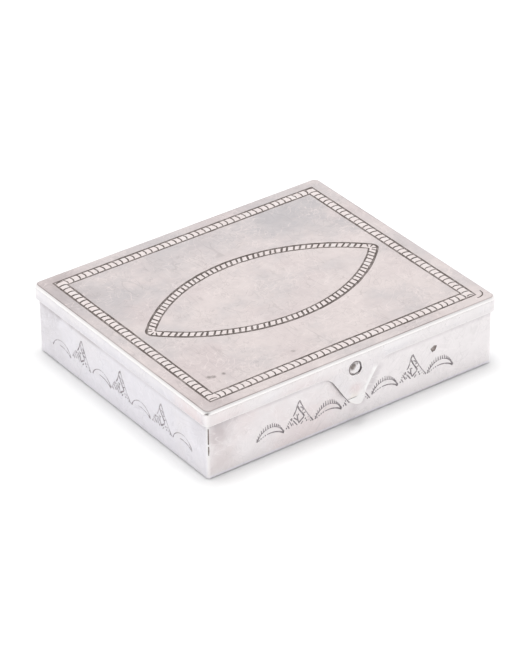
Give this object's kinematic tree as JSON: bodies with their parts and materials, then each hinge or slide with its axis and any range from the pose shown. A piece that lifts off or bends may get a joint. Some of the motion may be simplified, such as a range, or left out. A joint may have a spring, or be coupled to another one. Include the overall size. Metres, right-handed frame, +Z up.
{
  "type": "cigarette case",
  "caption": "Hinged sheet-silver cigarette case: shallow mitred tray, flat lid with a turned-down rim, rear tube hinge, and a spring tongue that snaps over a domed stud.",
  "frame": {"origin": "middle of the tray's underside, at the point of the base mount", "axes": "+X to the right along the front edge, -Y out of the front where the catch is, +Z up"},
  "size_m": [0.09, 0.0811, 0.0197],
  "materials": {
    "silver_sheet": "satin",
    "hinge_silver": "satin",
    "pin_wire": "satin"
  },
  "bodies": {
    "case": {"floor_plate": "silver_sheet", "front_wall": "silver_sheet", "right_wall": "silver_sheet", "rear_wall": "silver_sheet", "left_wall": "silver_sheet", "catch_stud": "silver_sheet", "hinge_bearer": "hinge_silver", "case_knuckle_1": "hinge_silver", "case_knuckle_2": "hinge_silver", "case_knuckle_3": "hinge_silver", "hinge_pin": "pin_wire"},
    "lid": {"lid_plate": "silver_sheet", "right_rim": "silver_sheet", "rear_rim": "silver_sheet", "left_rim": "silver_sheet", "lid_knuckle_1": "hinge_silver", "lid_knuckle_2": "hinge_silver"},
    "catch": {"front_rim_with_tongue": "silver_sheet"}
  },
  "joints": [
    {"name": "lid_hinge", "type": "hinge", "parent": "case", "child": "lid", "pos_m": [0, 0.03975, 0.0154], "axis": [-1, 0, 0], "range_deg": [0, 180]},
    {"name": "catch_spring", "type": "hinge", "parent": "lid", "child": "catch", "pos_m": [0, -0.0381, 0.0188], "axis": [-1, 0, 0], "range_deg": [0, 14], "stiffness_Nm_per_rad": 0.005}
  ]
}
